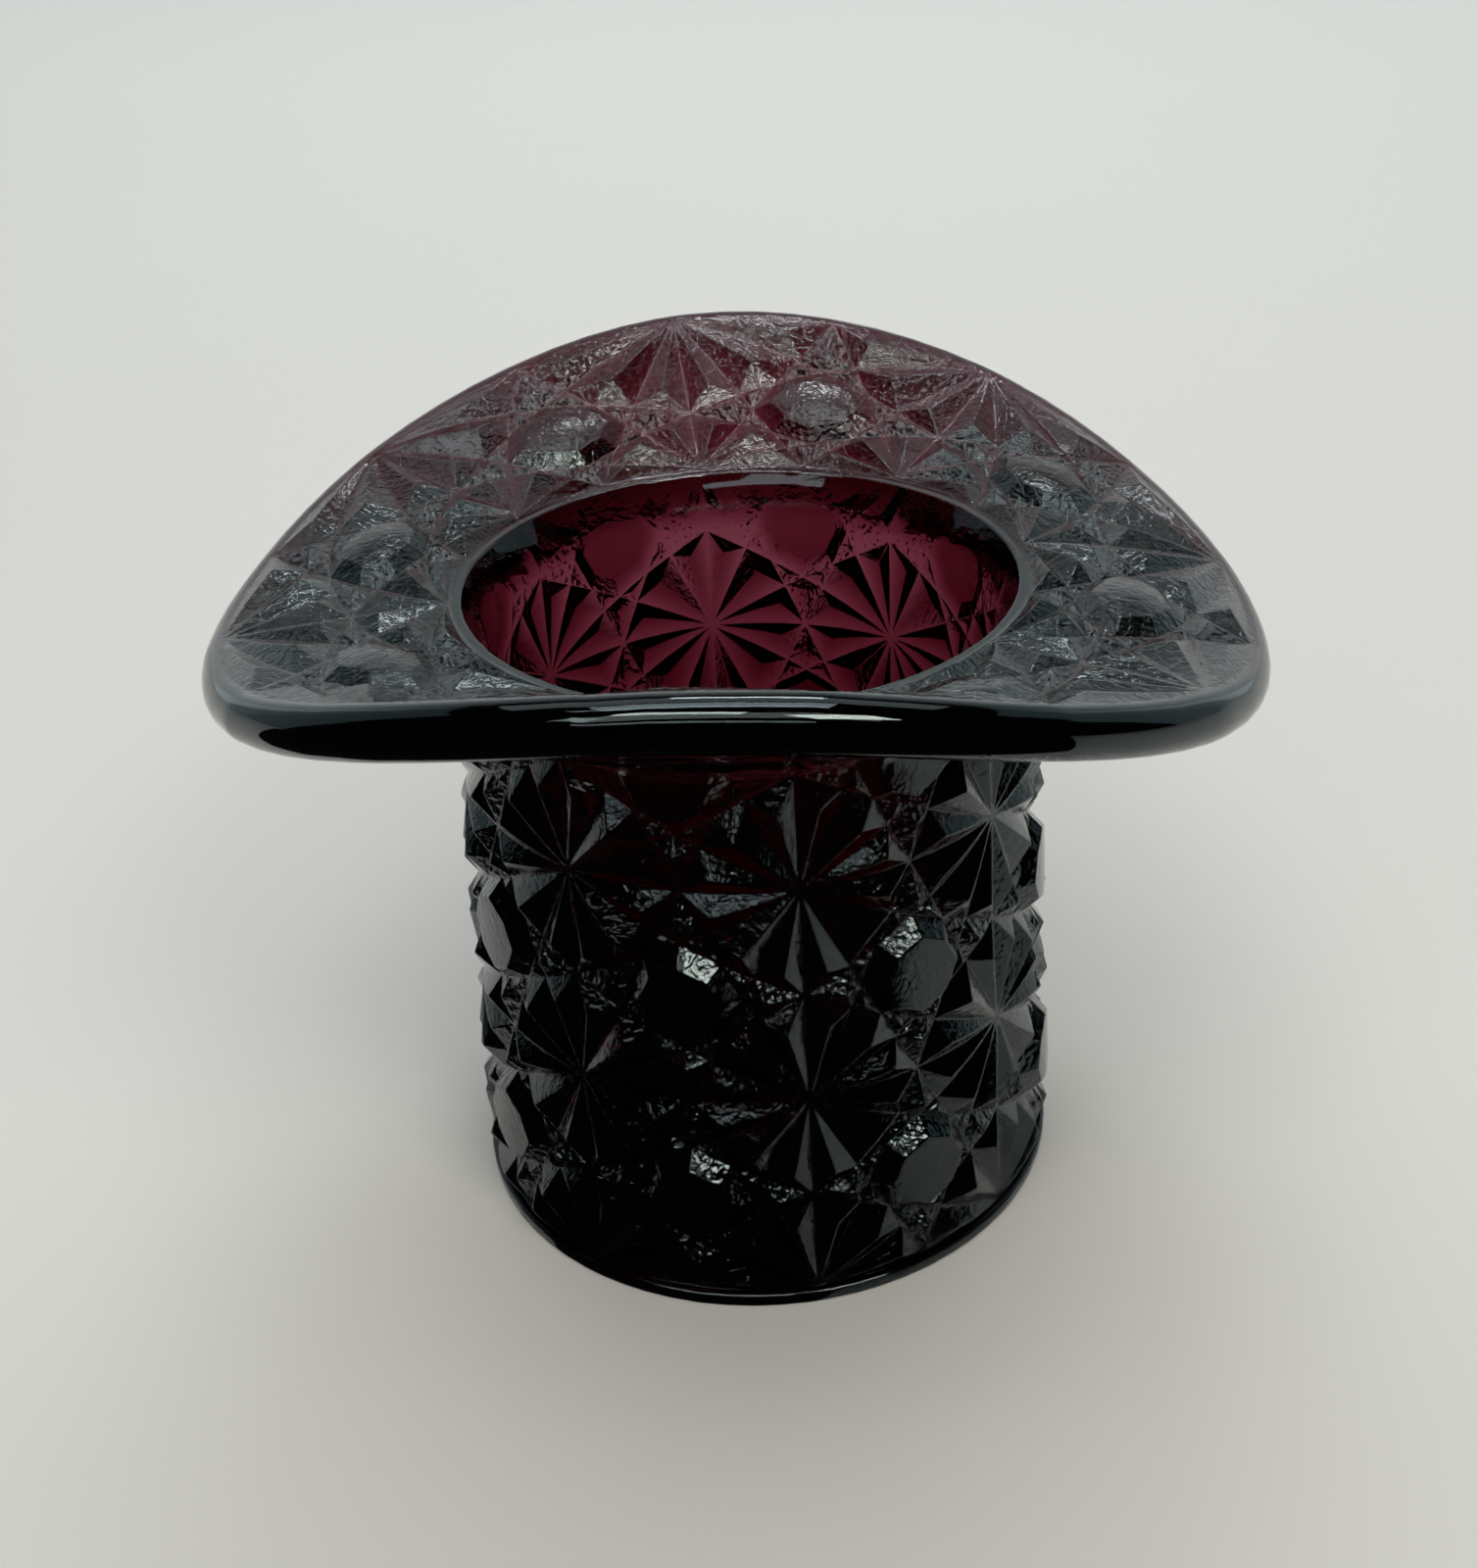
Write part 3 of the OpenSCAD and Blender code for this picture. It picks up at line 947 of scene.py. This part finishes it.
    def inside_rings(self, bm: BMesh, lip: Ring, a: np.ndarray) -> list[Ring]:
        """Adds the plain band round the mouth, the mouth and the inside.

        Args:
            bm: The mesh under work.
            lip: Points at which the brim's pattern ends.
            a: Their angles.

        Returns:
            The rings from the brim's pattern to the middle of the inside's floor.
        """
        s = self.sizes
        rings = [lip]
        for rho, z in self.inside_profile():
            rise, _, share = s.rise(a, np.full_like(a, rho))
            rings.append(self.ring(bm, a, rho, z + rise + (s.rim_t - s.brim_t) * share))
        return rings

    def foot_rings(self, bm: BMesh, foot: Ring, a: np.ndarray) -> list[Ring]:
        """Adds the plain edge that the hat stands on and the hollow under it.

        Args:
            bm: The mesh under work.
            foot: Points at which the relief ends.
            a: Their angles.

        Returns:
            The rings from the relief to the middle of the hollow.
        """
        s, r = self.sizes, self.foot_round
        edge = s.foot_r + s.foot_out
        hollow = s.bore_r - s.recess_in
        turns = [RIGHT_ANGLE * k / self.foot_steps for k in range(self.foot_steps + 1)]
        profile = [(s.foot_r + 0.2 * MM, s.foot_h - 0.02 * MM)]
        for b in turns:
            profile.append((edge - r * (1 - math.sin(b)), s.foot_h - r * (1 - math.cos(b))))
        for b in turns:
            profile.append((edge - r * (1 - math.cos(b)), r * (1 - math.sin(b))))
        profile += [
            (hollow + s.recess_d + 0.4 * MM, 0.0),
            (hollow + s.recess_d, 0.03 * MM),
            (hollow + 0.2 * MM, s.recess_d - 0.1 * MM),
            (hollow - 0.2 * MM, s.recess_d),
        ]
        profile += [(hollow * share, s.recess_d) for share in self.hollow_shares]
        return [foot] + [self.ring(bm, a, rho, z) for rho, z in profile]

    def border_of(self, v: bmesh.types.BMVert) -> str:
        """Names the border of the relief that a point lies on."""
        rho = math.hypot(v.co.x, v.co.y)
        if v.co.z < self.sizes.floor_t:
            return "foot"
        if rho < self.sizes.lip_rho + self.lip_zone:
            return "lip"
        return "neck" if rho < self.rim_from else "rim"

    def build(self) -> Object:
        """Makes the hat as one closed skin.

        Returns:
            The finished object.
        """
        material = self.finish.material()
        tiles = [ReliefTile(self.sizes, plain).build() for plain in (False, True)]
        bm = bmesh.new()
        bm.from_mesh(ReliefTree(self.sizes, material).lay(*tiles))
        border = {v for e in bm.edges if e.is_boundary for v in e.verts}
        around = {v: math.atan2(v.co.x, -v.co.y) for v in border}
        lines: dict[str, Ring] = {"foot": [], "lip": [], "neck": [], "rim": []}
        for v in sorted(border, key=around.get):
            lines[self.border_of(v)].append(v)
        counts = {name: len(line) for name, line in lines.items()}
        LOG.info("relief: %d faces, borders %s", len(bm.faces), counts)
        a = {name: np.array([around[v] for v in line]) for name, line in lines.items()}
        self.bridge(bm, self.edge_rings(bm, lines["rim"], lines["neck"], a["rim"]), down=True)
        inside = self.inside_rings(bm, lines["lip"], a["lip"])
        self.bridge(bm, inside)
        self.close(bm, inside[-1])
        under = self.foot_rings(bm, lines["foot"], a["foot"])
        self.bridge(bm, under, down=True)
        self.close(bm, under[-1], down=True)
        open_edges = sum(1 for e in bm.edges if not e.is_manifold)
        mesh = bpy.data.meshes.new("pressed_glass")
        bm.to_mesh(mesh)
        bm.free()
        mesh.materials.clear()
        mesh.materials.append(material)
        self.shade(mesh)
        hat = bpy.data.objects.new("pressed_glass", mesh)
        bpy.context.scene.collection.objects.link(hat)
        LOG.info("pressed_glass: %d faces, %d open edges", len(mesh.polygons), open_edges)
        return hat

    def shade(self, mesh: Mesh) -> None:
        """Shades the glass smooth, with large facets kept flat up to their rounded edges.

        Args:
            mesh: The hat's mesh.
        """
        mesh.polygons.foreach_set("use_smooth", [True] * len(mesh.polygons))
        mesh.update()
        co = np.zeros(len(mesh.vertices) * 3)
        mesh.vertices.foreach_get("co", co)
        co = co.reshape(-1, 3)
        mesh.calc_loop_triangles()
        tris = np.zeros(len(mesh.loop_triangles) * 3, dtype=np.int64)
        mesh.loop_triangles.foreach_get("vertices", tris)
        tris = tris.reshape(-1, 3)
        weight = np.cross(co[tris[:, 1]] - co[tris[:, 0]], co[tris[:, 2]] - co[tris[:, 0]])
        normal = np.zeros_like(co)
        for k in range(3):
            np.add.at(normal, tris[:, k], weight)
        normal /= np.maximum(np.linalg.norm(normal, axis=1, keepdims=True), 1e-20)
        mesh.normals_split_custom_set_from_vertices(normal.tolist())


@dataclass(frozen=True)
class SoftLamp:
    """A soft panel of light: its place, aim, width and height, and how bright it looks."""

    name: str
    place: Point
    aim: Point
    size: Spot
    glow: float
    color: Color = (1.0, 1.0, 1.0)
    mirrored: bool = True

    def build(self) -> None:
        """Adds the lamp to the scene."""
        light = bpy.data.lights.new(self.name, "AREA")
        light.shape = "RECTANGLE"
        light.size, light.size_y = self.size
        light.energy = self.glow * math.pi * self.size[0] * self.size[1]
        light.color = self.color
        holder = bpy.data.objects.new(self.name, light)
        holder.visible_glossy = self.mirrored
        holder.location = self.place
        facing = Vector(self.aim) - Vector(self.place)
        holder.rotation_euler = facing.to_track_quat("-Z", "Y").to_euler()
        bpy.context.scene.collection.objects.link(holder)


HAT = (0.0, 0.0, 0.06)
BRIM = (0.0, 0.0, 0.07)
WARM = (1.0, 0.92, 0.8)
COOL = (0.74, 0.95, 1.0)
LAMPS = (
    SoftLamp("top_panel", (0.0, 0.38, 0.9), (0.0, 0.38, 0.0), (1.1, 0.42), 0.9),
    SoftLamp("zenith_panel", (0.0, -0.02, 0.95), (0.0, -0.02, 0.0), (0.6, 0.3), 3.0),
    SoftLamp("strip_lamp", (-0.1, -0.09, 0.85), (-0.1, -0.09, 0.0), (0.7, 0.05), 3.0),
    SoftLamp("back_spark", (0.04, 0.5, 0.85), BRIM, (0.32, 0.1), 12.0),
    SoftLamp("front_panel", (0.0, -0.6, 0.8), HAT, (1.2, 0.3), 1.6, (1.0, 0.96, 0.9)),
    SoftLamp("front_spark", (-0.1, -0.41, 0.78), BRIM, (0.34, 0.1), 12.0, (1.0, 0.93, 0.82)),
    SoftLamp("key_lamp", (0.37, -0.56, 0.73), HAT, (0.36, 0.2), 14.0, WARM),
    SoftLamp("left_lamp", (-0.42, -0.5, 0.68), HAT, (0.2, 0.2), 3.0),
    SoftLamp("window", (-0.15, -0.85, 0.58), HAT, (0.9, 0.1), 2.0),
    SoftLamp("back_panel", (0.0, 0.95, 0.46), (0.0, 0.0, 0.46), (1.9, 0.9), 0.37, (0.8, 0.94, 1.0)),
    SoftLamp("left_panel", (-0.75, 0.5, 0.46), (0.0, 0.3, 0.46), (0.7, 0.9), 0.25, COOL),
    SoftLamp("right_panel", (0.75, 0.5, 0.46), (0.0, 0.3, 0.46), (0.7, 0.9), 0.32, COOL),
    SoftLamp("far_panel", (0.0, 0.8, 0.9), (0.0, 0.8, 0.0), (1.8, 0.7), 3.6, mirrored=False),
    SoftLamp("fill_panel", (0.0, -0.35, 0.9), (0.0, -0.3, 0.0), (0.9, 0.4), 2.0, mirrored=False),
)


@dataclass
class Studio:
    """Pale floor that curves up into a backdrop, and the lamps over it."""

    floor_color: Color = (0.415, 0.422, 0.408)
    floor_clouds: float = 0.02
    floor_roughness: float = 0.75
    cloud_scale: float = 3.0
    world: float = 0.012
    backdrop: float = 0.62
    world_color: Color = (0.98, 1.0, 0.97)
    columns: tuple[float, ...] = (-2.0, -0.7, 0.0, 0.7, 2.0)
    front_y: float = -1.6
    near_y: float = -0.03
    near_left: float = 0.28
    near_right: float = 0.45
    curve_y: float = 1.0
    curve_r: float = 0.5
    curve_steps: int = 12
    wall_h: float = 1.8

    def sweep(self) -> list[Object]:
        """Makes the floor that curves up into the backdrop.

        Returns:
            The near floor, which the glass doesn't mirror, and the far floor with the backdrop.
        """
        far = [(self.curve_y, 0.0)]
        for k in range(1, self.curve_steps + 1):
            b = RIGHT_ANGLE * k / self.curve_steps
            y, z = self.curve_r * math.sin(b), self.curve_r * (1 - math.cos(b))
            far.append((self.curve_y + y, z))
        far.append((self.curve_y + self.curve_r, self.wall_h))
        card = self.card()
        front = [(x, self.front_y, 0.0) for x in self.columns]
        middle = [
            (x, self.near_y - x * (self.near_right if x > 0 else self.near_left), 0.0)
            for x in self.columns
        ]
        near = self.sheet("studio_near", [front, middle], card)
        near.visible_glossy = False
        back = [[(x, y, z) for x in self.columns] for y, z in far]
        return [near, self.sheet("studio_sweep", [middle] + back, card)]

    def sheet(self, name: str, places: list[list[Point]], card: Material) -> Object:
        """Makes a broad sheet.

        Args:
            name: Name of the sheet.
            places: Its rows of points, from the front to the back.
            card: Its material.

        Returns:
            The sheet.
        """
        bm = bmesh.new()
        rows = [[bm.verts.new(p) for p in row] for row in places]
        for one, two in zip(rows, rows[1:]):
            for k in range(len(one) - 1):
                bm.faces.new((one[k], one[k + 1], two[k + 1], two[k]))
        mesh = bpy.data.meshes.new(name)
        bm.to_mesh(mesh)
        bm.free()
        mesh.polygons.foreach_set("use_smooth", [True] * len(mesh.polygons))
        mesh.materials.append(card)
        sheet = bpy.data.objects.new(name, mesh)
        bpy.context.scene.collection.objects.link(sheet)
        return sheet

    def card(self) -> Material:
        """Makes the pale card of floor and backdrop.

        Returns:
            The material.
        """
        material = bpy.data.materials.new("pale_card")
        graph = ShaderGraph(material)
        low, high = (
            tuple(c * factor for c in self.floor_color)
            for factor in (1 - self.floor_clouds, 1 + self.floor_clouds)
        )
        clouds = graph.tint(low, high, graph.noise(self.cloud_scale))
        card = graph.nodes["Principled BSDF"]
        graph.put(card, Roughness=self.floor_roughness, Base_Color=clouds)
        return material

    def surroundings(self) -> bpy.types.World:
        """Makes the world: nearly black for the glass and pale for the camera alone.

        Returns:
            The world.
        """
        world = bpy.data.worlds.new("studio_world")
        world.use_nodes = True
        nodes, links = world.node_tree.nodes, world.node_tree.links
        mix = nodes.new("ShaderNodeMixShader")
        links.new(nodes.new("ShaderNodeLightPath").outputs["Is Camera Ray"], mix.inputs["Fac"])
        skies = (nodes["Background"], nodes.new("ShaderNodeBackground"))
        for k, strength in enumerate((self.world, self.backdrop)):
            skies[k].inputs["Color"].default_value = (*self.world_color, 1.0)
            skies[k].inputs["Strength"].default_value = strength
            links.new(skies[k].outputs[0], mix.inputs[1 + k])
        links.new(mix.outputs[0], nodes["World Output"].inputs["Surface"])
        return world

    def build(self) -> list[Object]:
        """Sets up floor, lamps and world.

        Returns:
            The sheets of floor and backdrop.
        """
        scene = bpy.context.scene
        scene.view_settings.view_transform = "Standard"
        scene.world = self.surroundings()
        for lamp in LAMPS:
            lamp.build()
        return self.sweep()


@dataclass(frozen=True)
class PhotoCamera:
    """The photo's viewpoint: focal length and middle in pixels of a 1508 by 1600 picture."""

    focal_px: float = 2081.4
    distance: float = 224.9 * MM
    elevation: float = math.radians(30.49)
    aim_x: float = 9.22 * MM
    aim_z: float = 45.47 * MM
    roll: float = math.radians(-1.64)
    middle_px: float = 852.6
    picture: tuple[int, int] = (1508, 1600)
    sensor: float = 36.0
    clip: tuple[float, float] = (0.01, 20.0)

    def build(self) -> Object:
        """Makes the camera and gives it to the scene.

        Returns:
            The camera.
        """
        data = bpy.data.cameras.new("photo_camera")
        data.sensor_width = self.sensor
        data.lens = self.focal_px / max(self.picture) * self.sensor
        data.shift_x = -(self.middle_px - self.picture[0] / 2) / max(self.picture)
        data.clip_start, data.clip_end = self.clip
        camera = bpy.data.objects.new("photo_camera", data)
        sine, cosine = math.sin(self.elevation), math.cos(self.elevation)
        right, up, back = Vector((1, 0, 0)), Vector((0, sine, cosine)), Vector((0, -cosine, sine))
        s, c = math.sin(self.roll), math.cos(self.roll)
        turned = Matrix((right * c + up * s, up * c - right * s, back)).transposed()
        place = Vector((self.aim_x, 0, self.aim_z)) + back * self.distance
        camera.matrix_world = Matrix.Translation(place) @ turned.to_4x4()
        bpy.context.scene.collection.objects.link(camera)
        bpy.context.scene.camera = camera
        return camera


def main() -> None:
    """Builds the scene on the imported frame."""
    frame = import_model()
    PhotoCamera().build()
    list(Studio().build())
    hat = GlassHat().build()
    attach(hat, BODY)
    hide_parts(*sorted(frame["nodes"]))
    LOG.info("%s stands for %d nodes", hat.name, len(frame["nodes"]))


if __name__ == "__main__":
    logging.basicConfig(level=logging.INFO, format="%(name)s: %(message)s")
    main()
